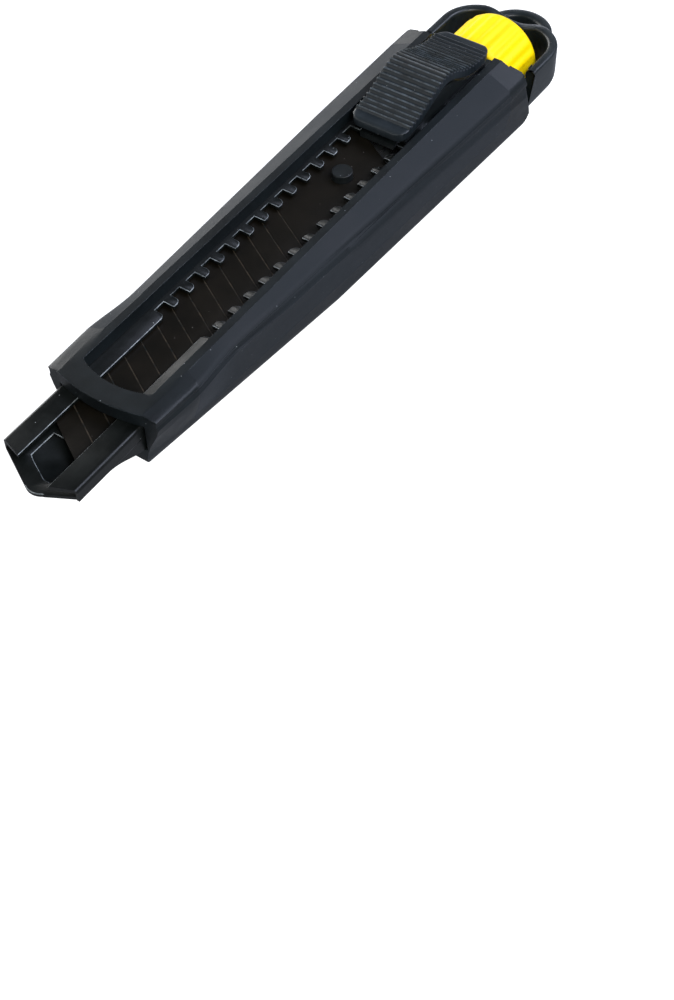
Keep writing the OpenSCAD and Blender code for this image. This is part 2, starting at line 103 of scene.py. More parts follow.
def mix_colour(tree, factor, first, second):
    """Mixes two colours, each a value or a socket, by a factor socket."""
    node = add(tree, "ShaderNodeMix", {"data_type": "RGBA"}, {0: factor})
    for socket, colour in ((node.inputs[6], first), (node.inputs[7], second)):
        if isinstance(colour, tuple):
            socket.default_value = colour
        else:
            tree.links.new(colour, socket)
    return node.outputs[2]


def bump(tree, shader, height, depth_mm, before=None):
    """Adds relief of about depth_mm, on top of an earlier bump where one is given."""
    links = {"Height": height}
    if before is not None:
        links["Normal"] = before
    made = add(tree, "ShaderNodeBump", {"Strength": 1.0, "Distance": depth_mm * MM}, links)
    tree.links.new(made.outputs[0], shader.inputs["Normal"])
    return made.outputs[0]


def dust(tree, place, speck_mm, share):
    """A mask of small scattered specks, such as lint and dust on dark plastic."""
    cells = add(tree, "ShaderNodeTexVoronoi", {"Scale": 1 / (speck_mm * 9 * MM)}, {"Vector": place})
    near = remap(tree, cells.outputs["Distance"], 0.04, 0.075, 1.0, 0.0)
    split = add(tree, "ShaderNodeSeparateColor", None, {0: cells.outputs["Color"]}).outputs[0]
    few = remap(tree, split, 1 - share, 1 - share + 0.02, 0.0, 1.0)
    return add(tree, "ShaderNodeMath", {"operation": "MULTIPLY"}, {0: near, 1: few}).outputs[0]


# ---------------------------------------------------------------- materials

def moulded_abs(colour):
    """Moulded ABS, half gloss: spark-eroded mould grain breaks its reflections up a little."""
    mat, tree, shader, place = new_material(
        "moulded_ABS_half_gloss", Roughness=0.36, IOR=1.5, Specular_IOR_Level=0.26)
    cloud = noise(tree, place, 9.0, 4.0, 0.6)
    base = mix_colour(tree, remap(tree, cloud, 0.35, 0.7, 0.0, 1.0), srgb(colour), srgb("#10171a"))
    base = mix_colour(tree, dust(tree, place, 0.16, 0.16), base, srgb("#8c9294"))
    tree.links.new(base, shader.inputs["Base Color"])
    tree.links.new(remap(tree, cloud, 0.3, 0.7, 0.42, 0.52), shader.inputs["Roughness"])
    bump(tree, shader, noise(tree, place, 0.35, 2.0), 0.012)
    return mat


def soft_rubber(colour):
    """Thermoplastic rubber, fine matt: a soft grain and a thin bloom that catches light."""
    mat, tree, shader, place = new_material(
        "thermoplastic_rubber", Roughness=0.5, IOR=1.5, Specular_IOR_Level=0.24)
    shader.inputs["Sheen Weight"].default_value = 0.05
    shader.inputs["Sheen Roughness"].default_value = 0.4
    shader.inputs["Sheen Tint"].default_value = srgb("#c3ccd8")
    cloud = noise(tree, place, 14.0, 5.0, 0.62, (0.5, 1, 1))
    base = mix_colour(tree, remap(tree, cloud, 0.3, 0.72, 0.0, 1.0), srgb(colour), srgb("#181e22"))
    base = mix_colour(tree, dust(tree, place, 0.14, 0.2), base, srgb("#9aa0a3"))
    tree.links.new(base, shader.inputs["Base Color"])
    tree.links.new(remap(tree, cloud, 0.3, 0.7, 0.56, 0.7), shader.inputs["Roughness"])
    first = bump(tree, shader, noise(tree, place, 0.28, 2.0), 0.016)
    bump(tree, shader, noise(tree, place, 5.0, 2.0), 0.05, first)
    return mat


def blackened_steel(colour):
    """Black-coated sheet steel, satin: faint rolling lines and rubbed patches."""
    mat, tree, shader, place = new_material(
        "black_coated_sheet_steel", Roughness=0.38, Specular_IOR_Level=0.3)
    rolled = noise(tree, place, 0.5, 3.0, 0.6, (0.03, 1, 1))
    patch = noise(tree, place, 6.0, 4.0, 0.65)
    base = mix_colour(tree, remap(tree, patch, 0.4, 0.75, 0.0, 1.0), srgb(colour), srgb("#0f1312"))
    base = mix_colour(tree, dust(tree, place, 0.17, 0.3), base, srgb("#a3a7a7"))
    tree.links.new(base, shader.inputs["Base Color"])
    shader.inputs["Metallic"].default_value = 0.1
    tree.links.new(remap(tree, patch, 0.3, 0.7, 0.3, 0.46), shader.inputs["Roughness"])
    bump(tree, shader, rolled, 0.008)
    return mat


def black_oxide(colour):
    """Black-oxide carbon steel: brown-black, with grinding lines across the blade."""
    mat, tree, shader, place = new_material(
        "black_oxide_carbon_steel", Roughness=0.42, Specular_IOR_Level=0.22)
    ground = noise(tree, place, 0.3, 3.0, 0.6, (1, 0.05, 1))
    patch = noise(tree, place, 8.0, 4.0, 0.6)
    base = mix_colour(tree, remap(tree, patch, 0.35, 0.7, 0.0, 1.0), srgb(colour), srgb("#15110a"))
    base = mix_colour(tree, dust(tree, place, 0.15, 0.16), base, srgb("#8a8580"))
    tree.links.new(base, shader.inputs["Base Color"])
    tree.links.new(remap(tree, patch, 0.3, 0.7, 0.36, 0.5), shader.inputs["Roughness"])
    bump(tree, shader, ground, 0.006)
    return mat


def bare_steel(colour):
    """Zinc-plated steel: bright, slightly streaked."""
    mat, tree, shader, place = new_material("zinc_plated_steel", Roughness=0.3, Metallic=1.0)
    streak = noise(tree, place, 0.7, 3.0, 0.6, (0.1, 1, 1))
    tone = mix_colour(tree, remap(tree, streak, 0.3, 0.7, 0.0, 1.0), srgb(colour), srgb("#8f9294"))
    tree.links.new(tone, shader.inputs["Base Color"])
    tree.links.new(remap(tree, streak, 0.3, 0.7, 0.22, 0.4), shader.inputs["Roughness"])
    bump(tree, shader, streak, 0.006)
    return mat


def turned_brass(colour):
    """Turned brass: fine lathe rings round the screw's axis."""
    mat, tree, shader, place = new_material("turned_brass", Roughness=0.28, Metallic=1.0)
    rings = noise(tree, place, 0.25, 2.0, 0.5, (1, 0.1, 0.1))
    tone = mix_colour(tree, remap(tree, rings, 0.3, 0.7, 0.0, 1.0), srgb(colour), srgb("#a8863f"))
    tree.links.new(tone, shader.inputs["Base Color"])
    bump(tree, shader, rings, 0.008)
    return mat


def painted_highlight_and_score_line(name, colour, rough):
    """A paler thin line, a little broken up: a painted highlight along sharp edges and rib crests, and the
    bare steel of the blade's score lines.
    """
    mat, tree, shader, place = new_material(name, Roughness=rough, Specular_IOR_Level=0.4)
    line_breakup = noise(tree, place, 2.2, 4.0, 0.65)
    base = mix_colour(tree, remap(tree, line_breakup, 0.35, 0.65, 0.0, 1.0), srgb(colour), srgb("#1d2223"))
    tree.links.new(base, shader.inputs["Base Color"])
    bump(tree, shader, noise(tree, place, 0.3, 2.0), 0.006)
    return mat


def moulded_nylon(name, colour, light, rough, relief):
    """Moulded nylon: satin, with a fine mould texture and handled, slightly polished patches."""
    mat, tree, shader, place = new_material(name, Roughness=rough, Specular_IOR_Level=0.34)
    patch = noise(tree, place, 5.0, 4.0, 0.6)
    base = mix_colour(tree, remap(tree, patch, 0.35, 0.72, 0.0, 1.0), srgb(colour), srgb(light))
    base = mix_colour(tree, dust(tree, place, 0.13, 0.18), base, srgb("#90969a"))
    tree.links.new(base, shader.inputs["Base Color"])
    tree.links.new(remap(tree, patch, 0.3, 0.7, rough - 0.07, rough + 0.06), shader.inputs["Roughness"])
    bump(tree, shader, noise(tree, place, 0.3, 2.0), relief)
    return mat


def moulded_yellow(colour):
    """Moulded ABS in bright yellow: light scatters a little way into it, so its grooves glow."""
    mat, tree, shader, place = new_material("moulded_ABS_yellow", Roughness=0.5, Specular_IOR_Level=0.16)
    shader.inputs["Subsurface Weight"].default_value = 0.1
    shader.inputs["Subsurface Radius"].default_value = (0.0016, 0.001, 0.0003)
    shader.inputs["Subsurface Scale"].default_value = 1.0
    patch = noise(tree, place, 4.0, 4.0, 0.6)
    base = mix_colour(tree, remap(tree, patch, 0.3, 0.75, 0.0, 1.0), srgb(colour), srgb("#ffdc00"))
    tree.links.new(base, shader.inputs["Base Color"])
    tree.links.new(remap(tree, patch, 0.3, 0.7, 0.44, 0.56), shader.inputs["Roughness"])
    bump(tree, shader, noise(tree, place, 0.4, 2.0), 0.012)
    return mat


# ---------------------------------------------------------------- helpers: meshes

def finish_piece(bm, name, body, mat, replaced=(), smooth_deg=35):
    """Turns a bmesh into a piece that rides on a body and stands for CAD nodes."""
    mesh = bpy.data.meshes.new(name)
    bm.to_mesh(mesh)
    bm.free()
    mesh.materials.append(mat)
    mesh.shade_smooth()
    mesh.set_sharp_from_angle(angle=math.radians(smooth_deg))
    piece = bpy.data.objects.new(name, mesh)
    bpy.context.scene.collection.objects.link(piece)
    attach(piece, body)
    if replaced:
        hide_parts(*replaced)
    return piece


def cad_copy(node):
    """A merged copy of a CAD node's mesh, with its flat faces joined up."""
    bm = bmesh.new()
    bm.from_mesh(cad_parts[node].data)
    bmesh.ops.remove_doubles(bm, verts=bm.verts, dist=1e-6)
    bmesh.ops.dissolve_limit(
        bm, angle_limit=math.radians(0.5), verts=bm.verts, edges=bm.edges, use_dissolve_boundaries=False)
    return bm


def everything(bm):
    """All of a mesh's vertices, edges and faces, as a cut takes them."""
    return list(bm.verts) + list(bm.edges) + list(bm.faces)


NOSE_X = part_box("upper_shell")[1].x
REAR_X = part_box("blade_guide")[0].x - 0.5 * MM
RAIL_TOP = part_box("upper_shell")[1].z


def bevel_with_painted_highlight(bm, edges, width_mm, slot_index=1):
    """Breaks chosen sharp edges with a narrow flat that carries a painted highlight."""
    made = bmesh.ops.bevel(bm, geom=edges, offset=width_mm * MM, segments=1, profile=0.5,
                           affect="EDGES", material=-1, clamp_overlap=True)
    for face in made["faces"]:
        face.material_index = slot_index


def sharp_edges(bm, low_z, high_z, turn=50):
    """Sharp outward edges that lie wholly between two heights."""
    found = []
    for edge in bm.edges:
        if len(edge.link_faces) != 2 or not edge.is_convex:
            continue
        level = all(low_z <= v.co.z <= high_z for v in edge.verts)
        if level and edge.calc_face_angle(0.0) > math.radians(turn):
            found.append(edge)
    return found


# the long crease between wall and shoulder: where it runs, and the two slopes that meet there
WIDE_X = NOSE_X - 110.7 * MM
HALF_WIDTH = 16.8 * MM
NARROWING = 0.0398                        # how much the wall comes in per length, ahead of WIDE_X
REAR_BOW = 2716 * MM                      # the wall comes in by distance squared over this, behind it
RAIL_DEPTH = 3 * MM                       # the wall's width is given this far below the rails
FAN_CUTS = 10                             # lengthwise cuts that the rounding is made from
DRAFT = math.radians(11)
SHOULDER = math.radians(24.28)
RAIL_Y = 10.1 * MM


def crease_centre(x, radius):
    """Middle of the rounding, as (y, z), where the handle is cut across at x."""
    wall_y = HALF_WIDTH - max(0.0, x - WIDE_X) * NARROWING - max(0.0, WIDE_X - x) ** 2 / REAR_BOW
    low = RAIL_TOP - RAIL_DEPTH
    slope = math.tan(SHOULDER)
    y = (wall_y + math.tan(DRAFT) * (RAIL_TOP - low + slope * RAIL_Y)) / (1 + math.tan(DRAFT) * slope)
    z = RAIL_TOP - slope * (y - RAIL_Y)
    wall = Vector((math.cos(DRAFT), -math.sin(DRAFT)))
    top = Vector((math.sin(SHOULDER), math.cos(SHOULDER)))
    return Vector((y, z)) - (wall + top) * (radius / (1 + wall.dot(top)))


def round_shoulder(bm, radius_mm):
    """Rounds the long crease between the handle's shoulder and its side."""
    radius = radius_mm * MM
    bmesh.ops.triangulate(bm, faces=bm.faces[:])
    first, last = -DRAFT, math.pi / 2 - SHOULDER
    behind, ahead = crease_centre(WIDE_X, radius), crease_centre(NOSE_X, radius)
    for side in (1, -1):
        run = Vector((NOSE_X - WIDE_X, side * (ahead.x - behind.x), ahead.y - behind.y))
        for index in range(FAN_CUTS):
            angle = first + (last - first) * index / (FAN_CUTS - 1)
            normal = run.cross(Vector((0, side * math.cos(angle), math.sin(angle)))).normalized()
            bmesh.ops.bisect_plane(bm, geom=everything(bm), dist=1e-7,
                                   plane_co=(WIDE_X, side * behind.x, behind.y), plane_no=normal)
    for vert in bm.verts:
        if vert.co.z < 12 * MM or abs(vert.co.y) < RAIL_Y:
            continue
        centre = crease_centre(vert.co.x, radius)
        away = Vector((abs(vert.co.y), vert.co.z)) - centre
        angle = math.atan2(away.y, away.x)
        if first - 0.01 < angle < last + 0.01 and away.length > radius - 0.5 * MM:
            new = centre + away.normalized() * radius
            vert.co.y = math.copysign(new.x, vert.co.y)
            vert.co.z = new.y


FLARE_LENGTH = 27 * MM                    # the finger guard's reach behind the nose
FLARE = 1.5 * MM                          # how far each side stands out
CHIN_LENGTH = 4.2 * MM
CHIN_TUCK = 2.6 * MM                      # how far the lower corner comes in at the very front


def flare_nose(bm):
    """Widens the nose into a finger guard, with a smooth waist behind it."""
    start = NOSE_X - FLARE_LENGTH
    cuts = [start + index * 1.5 * MM for index in range(15)]
    cuts += [NOSE_X - back * MM for back in (4.2, 3.4, 2.7, 2.0, 1.4, 0.9, 0.5, 0.2)]
    for place in cuts:
        bmesh.ops.bisect_plane(
            bm, geom=everything(bm), dist=1e-7, plane_co=(place, 0, 0), plane_no=(1, 0, 0))
    for vert in bm.verts:
        ahead = vert.co.x - start
        if ahead <= 0:
            continue
        height = eased((vert.co.z - 6 * MM) / (11 * MM))
        side = eased((abs(vert.co.y) - 10 * MM) / (1.6 * MM))
        vert.co.y += math.copysign(FLARE * eased(ahead / (15 * MM)) * height * side, vert.co.y)
        tuck = max(0.0, 1 - (NOSE_X - vert.co.x) / CHIN_LENGTH) ** 2
        low = eased((13 * MM - vert.co.z) / (8 * MM))
        vert.co.y -= math.copysign(CHIN_TUCK * tuck * low * side, vert.co.y)


def soften(piece, width_mm, segments=2, angle=30):
    """Rounds a piece's sharp edges, as moulding or tumbling leaves them."""
    made = piece.modifiers.new("soft_edges", "BEVEL")
    made.width = width_mm * MM
    made.segments = segments
    made.limit_method = "ANGLE"
    made.angle_limit = math.radians(angle)
    made.use_clamp_overlap = True
    made.harden_normals = True
    return piece


def settle_normals(piece):
    """Keeps broad faces flat in shading, so that only the rounded strips turn."""
    made = piece.modifiers.new("flat_faces", "WEIGHTED_NORMAL")
    made.keep_sharp = True
    made.weight = 70


def eased(t):
    """0 to 1 with a level start and end."""
    t = min(max(t, 0.0), 1.0)
    return t * t * (3 - 2 * t)


# ---------------------------------------------------------------- pieces kept from the model

def dress(node, mat):
    """Gives a CAD node its finish."""
    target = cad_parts[node].data
    target.materials.clear()
    target.materials.append(mat)


# ---------------------------------------------------------------- settings

PAD_LOW, PAD_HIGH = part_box("thumb_pad")
WHEEL_LOW, WHEEL_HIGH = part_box("thumb_wheel")


class KnifeHandle(bpy.types.PropertyGroup):
    shell_colour: bpy.props.StringProperty(
        name="Shell colour", description="sRGB hex colour of the hard shells", default="#0a0f11")
    grip_colour: bpy.props.StringProperty(
        name="Grip colour", description="sRGB hex colour of the rubber grips", default="#0f1417")
    shell_edge: bpy.props.FloatProperty(
        name="Shell edge radius", description="Rounding of the shells' edges in millimetres",
        default=0.35, min=0.05, max=1.0)
    shoulder: bpy.props.FloatProperty(
        name="Shoulder rounding", description="Radius of the long shoulder crease in millimetres",
        default=2.8, min=1.0, max=5.0)


class KnifeSlider(bpy.types.PropertyGroup):
    pad_colour: bpy.props.StringProperty(
        name="Pad colour", description="sRGB hex colour of the thumb pad", default="#171d21")
    rib_pitch: bpy.props.FloatProperty(
        name="Rib pitch", description="Spacing of the thumb pad's ribs in millimetres",
        default=1.3, min=0.8, max=2.0)
    rib_depth: bpy.props.FloatProperty(
        name="Rib depth", description="Depth of the grooves between the ribs in millimetres",
        default=0.72, min=0.1, max=1.0)


class KnifeWheel(bpy.types.PropertyGroup):
    colour: bpy.props.StringProperty(
        name="Wheel colour", description="sRGB hex colour of the thumb wheel", default="#ffd800")
    flutes: bpy.props.IntProperty(
        name="Flutes", description="Number of finger grooves round the wheel", default=24, min=12, max=40)
    flute_depth: bpy.props.FloatProperty(
        name="Flute depth", description="Depth of a finger groove in millimetres",
        default=0.34, min=0.1, max=1.0)


class KnifeSteel(bpy.types.PropertyGroup):
    guide_colour: bpy.props.StringProperty(
        name="Guide colour", description="sRGB hex colour of the blade guide's coating",
        default="#080b0a")
    blade_colour: bpy.props.StringProperty(
        name="Blade colour", description="sRGB hex colour of the blade's oxide", default="#0e0c08")


class KnifeStage(bpy.types.PropertyGroup):
    view_azimuth: bpy.props.FloatProperty(
        name="View azimuth", description="Direction of the camera round the knife",
        default=math.radians(35.886), subtype="ANGLE")
    view_elevation: bpy.props.FloatProperty(
        name="View elevation", description="Height of the camera above the knife as an angle",
        default=math.radians(51.148), subtype="ANGLE")
    view_roll: bpy.props.FloatProperty(
        name="View roll", description="Turn of the camera about its own axis",
        default=math.radians(-1.733), subtype="ANGLE")
    view_distance: bpy.props.FloatProperty(
        name="View distance", description="Distance from the camera to its aim",
        default=0.293941, unit="LENGTH")


def settings(name):
    return getattr(bpy.context.scene, name)


# ---------------------------------------------------------------- thumb pad

PAD_LENGTH = (PAD_HIGH.x - PAD_LOW.x) / MM
PAD_HALF = (PAD_HIGH.y - PAD_LOW.y) / 2 / MM
PAD_FRONT = PAD_HIGH.x / MM
CREST_BACK = 17.5                         # the crest's distance behind the front edge
CREST_HEIGHT = 27.9
PAD_LEVEL = 22.75
RIB_START = 2.4
RIB_COUNT = 25
RIB_SINK = 0.3                            # the grooves' floor below the pad's smooth top


def pad_height(back):
    """Height of the pad's smooth top, in millimetres, at a distance behind its front edge."""
    ends = PAD_LEVEL + (0.6 if back < CREST_BACK else 0.85)
    reach = 13 if back < CREST_BACK else 11
    return ends + (CREST_HEIGHT - ends) * math.exp(-2.2 * ((back - CREST_BACK) / reach) ** 2)


def pad_rib(back, pitch, depth):
    """Rise of the ribs: rounded ridges with narrow grooves, fading to the smooth ends."""
    if back < RIB_START or back > RIB_START + RIB_COUNT * pitch:
        return -0.25
    wave = (1 - math.cos(2 * math.pi * (back - RIB_START) / pitch)) / 2
    fade = 1 - 0.4 * eased((back - 26) / 9)
    return depth * fade * wave ** 1.7 - RIB_SINK


def pad_width(back):
    """Half width of the pad's outline, with its corners rounded."""
    for radius, depth in ((2.4, back), (3.6, PAD_LENGTH - back)):
        if depth < radius:
            return PAD_HALF - radius + math.sqrt(max(radius ** 2 - (radius - depth) ** 2, 0.0))
    return PAD_HALF


def build_thumb_pad(values, mat):
    """A wavy plate with rounded ribs across it and a smooth lip at each end."""
    per_rib = 10
    along = int(PAD_LENGTH / values.rib_pitch * per_rib)
    across = 18
    thickness = 2.2
    bm = bmesh.new()
    bmesh.ops.create_grid(bm, x_segments=along, y_segments=across, size=0.5)
    for vert in bm.verts:
        back = (0.5 - vert.co.x) * PAD_LENGTH
        share = vert.co.y * 2
        lane = math.sin(share * math.pi / 2)
        wide = pad_width(min(max(back, 0.02), PAD_LENGTH - 0.02))
        edge_fall = 0.16 * max(0.0, (abs(lane) - 0.93) / 0.07) ** 2
        end_fall = 0.5 * (max(0.0, 1 - back / 0.9) ** 2 + max(0.0, 1 - (PAD_LENGTH - back) / 0.9) ** 2)
        ribs = pad_rib(back, values.rib_pitch, values.rib_depth)
        height = pad_height(back) + ribs - edge_fall - end_fall
        vert.co = Vector((PAD_FRONT - back, lane * wide, height)) * MM
    top = list(bm.faces)
    grown = bmesh.ops.extrude_face_region(bm, geom=top)["geom"]
    for vert in [v for v in grown if isinstance(v, bmesh.types.BMVert)]:
        back = PAD_FRONT - vert.co.x / MM
        vert.co.z = (pad_height(back) - thickness) * MM
        vert.co.y *= 0.985
    bmesh.ops.recalc_face_normals(bm, faces=bm.faces)
    for face in bm.faces:
        back = PAD_FRONT - face.calc_center_median().x / MM
        ridge = pad_rib(back, values.rib_pitch, values.rib_depth) > values.rib_depth * 0.8 - RIB_SINK
        # upward faces along the rib crests take the second slot, a paler colour that is a painted highlight
        if face.normal.z > 0.2 and ridge:
            face.material_index = 1
    pad = finish_piece(bm, "thumb_pad_ribbed", "pad", mat, ["thumb_pad"], 50)
    pad.data.materials.append(painted_highlight_and_score_line("nylon_painted_crest_highlight", "#48525a", 0.3))
    return pad


# ---------------------------------------------------------------- thumb wheel

HUB_BORE = 2.52 * MM


def build_thumb_wheel(values, mat):
    """A fluted wheel with chamfered rims and a recessed hub."""
    radius = (WHEEL_HIGH.z - WHEEL_LOW.z) / 2
    centre_z = (WHEEL_HIGH.z + WHEEL_LOW.z) / 2
    length = WHEEL_HIGH.x - WHEEL_LOW.x
    per_flute = 8
    chamfer = 0.8 * MM
    steps = [
        (0.0, radius - 3.4 * MM, 0.0), (0.0, radius - chamfer - 0.2 * MM, 0.0),
        (0.06 * MM, radius - chamfer, 0.0), (0.3 * MM, radius - 0.55 * MM, 0.0),
        (chamfer, radius - 0.32 * MM, 0.1), (chamfer * 1.6, radius - 0.12 * MM, 0.6),
        (chamfer * 2.4, radius, 1.0), (length / 2, radius, 1.0)]
    steps += [(length - x, r, f) for x, r, f in reversed(steps[:-1])]
    bm = bmesh.new()
    ring = bmesh.ops.create_circle(
        bm, segments=values.flutes * per_flute, radius=1.0, cap_ends=False)["verts"]
    turned = Matrix.Rotation(math.pi / 2, 4, "Y")
    bmesh.ops.transform(bm, matrix=turned, verts=ring)
    unit = {v: v.co.copy() for v in ring}
    order = list(ring)
    edges = list(bm.edges)

    def set_ring(verts, x, r, flute):
        for vert, start in zip(verts, order):
            way = unit[start]
            angle = math.atan2(way.z, way.y)
            wave = (1 - math.cos(angle * values.flutes)) / 2
            reach = r - flute * values.flute_depth * MM * (1 - wave) ** 1.2
            vert.co = Vector((WHEEL_LOW.x + x, way.y * reach, centre_z + way.z * reach))

    set_ring(order, *steps[0])
    current = order
    for step in steps[1:]:
        grown = bmesh.ops.extrude_edge_only(bm, edges=edges)["geom"]
        edges = [g for g in grown if isinstance(g, bmesh.types.BMEdge)]
        fresh = [g for g in grown if isinstance(g, bmesh.types.BMVert)]
        lookup = {tuple(round(c, 9) for c in v.co): v for v in fresh}
        current = [lookup[tuple(round(c, 9) for c in v.co)] for v in current]
        set_ring(current, *step)
    for x, group in ((2.5 * MM, order), (length - 0.3 * MM, current)):
        rim = [e for e in bm.edges if e.verts[0] in set(group) and e.verts[1] in set(group)]
        grown = bmesh.ops.extrude_edge_only(bm, edges=rim)["geom"]
        fresh = [g for g in grown if isinstance(g, bmesh.types.BMVert)]
        for vert in fresh:
            vert.co.x = WHEEL_LOW.x + x
        inner = [g for g in grown if isinstance(g, bmesh.types.BMEdge)]
        grown = bmesh.ops.extrude_edge_only(bm, edges=inner)["geom"]
        bore = [g for g in grown if isinstance(g, bmesh.types.BMVert)]
        for vert in bore:
            way = Vector((0, vert.co.y, vert.co.z - centre_z)).normalized()
            vert.co.y = way.y * HUB_BORE
            vert.co.z = centre_z + way.z * HUB_BORE
    ends = [e for e in bm.edges if e.is_boundary]
    bmesh.ops.bridge_loops(bm, edges=ends)
    bmesh.ops.recalc_face_normals(bm, faces=bm.faces)
    return finish_piece(bm, "thumb_wheel_fluted", "wheel", mat, ["thumb_wheel"], 40)


# ---------------------------------------------------------------- end cap

CAP_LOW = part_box("end_cap")[0]
RING_X = CAP_LOW.x / MM + 8.5             # rear of the loop, in front of the lanyard eye
RING_LOW = CAP_LOW.z / MM
ARM_X = REAR_X / MM - 5.9                 # front ends of the loop's arms
ARM_RUN = 9.6                             # straight stretch of each arm
HALF_BAR = 1.15                           # half the thickness of the loop's bar
LOOP_HALF = 14.8                          # half the loop's outer width
LOOP_CORNER = 9.5                         # outer radius of its rear corners
EYE_RADIUS = 7.1
WEB_HALF = 12.6                           # half width of the model's web that is kept


def sweep(bm, path, sections):
    """Draws one closed section a path point; each point is (x, y, outward x, outward y)."""
    rows = []
    for (x, y, out_x, out_y), points in zip(path, sections):
        rows.append([bm.verts.new(Vector((x + out_x * u, y + out_y * u, z)) * MM) for u, z in points])
    for first, second in zip(rows, rows[1:]):
        for a in range(len(first)):
            b = (a + 1) % len(first)
            bm.faces.new((first[a], first[b], second[b], second[a]))
    bm.faces.new(rows[0])
    bm.faces.new(list(reversed(rows[-1])))
    return rows


def quarter(u, z, radius, start, steps=4):
    """Points of a quarter circle round (u, z), from an angle in degrees and falling."""
    return [(u + radius * math.cos(math.radians(start - 90 * k / steps)),
             z + radius * math.sin(math.radians(start - 90 * k / steps))) for k in range(steps + 1)]


def loop_path(half, radius):
    """Down one arm, round the rear bar and back up the other arm."""
    path = [(ARM_X - ARM_RUN * k / 6, half, 0, 1) for k in range(6)]
    for side in (1, -1):
        turn = [(90 + 90 * k / 14) if side > 0 else (180 + 90 * k / 14) for k in range(15)]
        for degrees in turn:
            way = (math.cos(math.radians(degrees)), math.sin(math.radians(degrees)))
            centre = (RING_X + HALF_BAR + radius, side * (half - radius))
            path.append((centre[0] + radius * way[0], centre[1] + radius * way[1], *way))
        if side > 0:
            reach = half - radius
            path += [(RING_X + HALF_BAR, reach - 2 * reach * k / 14, -1, 0) for k in range(1, 14)]
    path += [(ARM_X - ARM_RUN * (5 - k) / 6, -half, 0, -1) for k in range(6)]
    return path


def build_end_cap(mat):
    """A rounded loop with a saddle in its rear bar, a lanyard eye, and the web inside the handle."""
    bm = cad_copy("end_cap")
    for place, normal in (((0, WEB_HALF * MM, 0), (0, 1, 0)), ((0, -WEB_HALF * MM, 0), (0, -1, 0)),
                          (((ARM_X - 4.3) * MM, 0, 0), (-1, 0, 0))):
        cut = bmesh.ops.bisect_plane(bm, geom=everything(bm), dist=1e-7, plane_co=place,
                                     plane_no=normal, clear_outer=True)["geom_cut"]
        bmesh.ops.holes_fill(bm, edges=[g for g in cut if isinstance(g, bmesh.types.BMEdge)], sides=0)
    top = RING_LOW + 11

    def loop_section(x, y):
        near_rear = x < RING_X + 5
        dip = 0.9 * (1 + math.cos(math.pi * min(abs(y) / 8.5, 1.0))) if near_rear else 0.0
        crown = top - dip
        lower = [(HALF_BAR - 4 + 4 * math.cos(math.radians(a)),
                  RING_LOW + 4 - 4 * math.sin(math.radians(a))) for a in (0, 13, 26, 39, 52, 64.8)]
        return (lower + quarter(-HALF_BAR + 0.7, crown - 0.7, 0.7, 180)
                + quarter(HALF_BAR - 0.7, crown - 0.7, 0.7, 90))

    path = loop_path(LOOP_HALF - HALF_BAR, LOOP_CORNER - HALF_BAR)
    rows = sweep(bm, path, [loop_section(x, y) for x, y, *_ in path])
    for row in (rows[0], rows[-1]):
        for vert in row:
            vert.co.x -= 0.4 * max(0.0, vert.co.z - (RING_LOW + 5.5) * MM)

    eye_top = RING_LOW + 7
    eye_path = [(RING_X + 1.2, EYE_RADIUS, 0, 1)]
    for k in range(33):
        way = (math.cos(math.radians(90 + 180 * k / 32)), math.sin(math.radians(90 + 180 * k / 32)))
        eye_path.append((RING_X + EYE_RADIUS * way[0], EYE_RADIUS * way[1], *way))
    eye_path.append((RING_X + 1.2, -EYE_RADIUS, 0, -1))
    r = 0.9
    eye_section = (quarter(1.4 - r, RING_LOW + r, r, 0) + quarter(-1.4 + r, RING_LOW + r, r, 270)
                   + quarter(-1.4 + r, eye_top - r, r, 180) + quarter(1.4 - r, eye_top - r, r, 90))
    sweep(bm, eye_path, [eye_section] * len(eye_path))
    axis = (WHEEL_HIGH.z + WHEEL_LOW.z) / 2
    front = WHEEL_LOW.x - 0.45 * MM
    rear = (RING_X + 1) * MM
    boss = bmesh.ops.create_cone(bm, segments=48, radius1=4.2 * MM, radius2=4.2 * MM,
                                 depth=front - rear, cap_ends=True)["verts"]
    place = Matrix.Translation(((front + rear) / 2, 0, axis)) @ Matrix.Rotation(math.pi / 2, 4, "Y")
    bmesh.ops.transform(bm, matrix=place, verts=boss)
    bmesh.ops.recalc_face_normals(bm, faces=bm.faces)
    return finish_piece(bm, "end_cap_moulded", "cap", mat, ["end_cap"], 40)


# ---------------------------------------------------------------- operators

class KNIFE_OT_shells(bpy.types.Operator):
    """Softens the edges of the hard shells and gives them their finish"""
    bl_idname = "knife.shells"
    bl_label = "Hard Shells"

    def execute(self, context):
        values = settings("knife_handle")
        mat = moulded_abs(values.shell_colour)
        # the rails' sharp top edges get a narrow flat in a paler colour, a painted highlight
        edge_highlight_mat = painted_highlight_and_score_line("ABS_painted_edge_highlight", "#3f4a4e", 0.3)
        for node in ("upper_shell", "lower_shell"):
            bm = cad_copy(node)
            if node == "upper_shell":
                bevel_with_painted_highlight(bm, sharp_edges(bm, RAIL_TOP - 0.02 * MM, RAIL_TOP + 0.02 * MM), 0.13)
            round_shoulder(bm, values.shoulder)
            flare_nose(bm)
            piece = finish_piece(bm, node + "_moulded", "handle", mat, [node], 50)
            piece.data.materials.append(edge_highlight_mat)
            soften(piece, values.shell_edge, 3, 50)
            settle_normals(piece)
        return {"FINISHED"}


class KNIFE_OT_grips(bpy.types.Operator):
    """Builds the two rubber grips"""
    bl_idname = "knife.grips"
    bl_label = "Rubber Grips"

    def execute(self, context):
        values = settings("knife_handle")
        mat = soft_rubber(values.grip_colour)
        for node in ("grip_left", "grip_right"):
            bm = cad_copy(node)
            round_shoulder(bm, values.shoulder)
            flare_nose(bm)
            piece = finish_piece(bm, node + "_soft", "handle", mat, [node], 50)
            soften(piece, 0.32, 3, 50)
            settle_normals(piece)
        return {"FINISHED"}


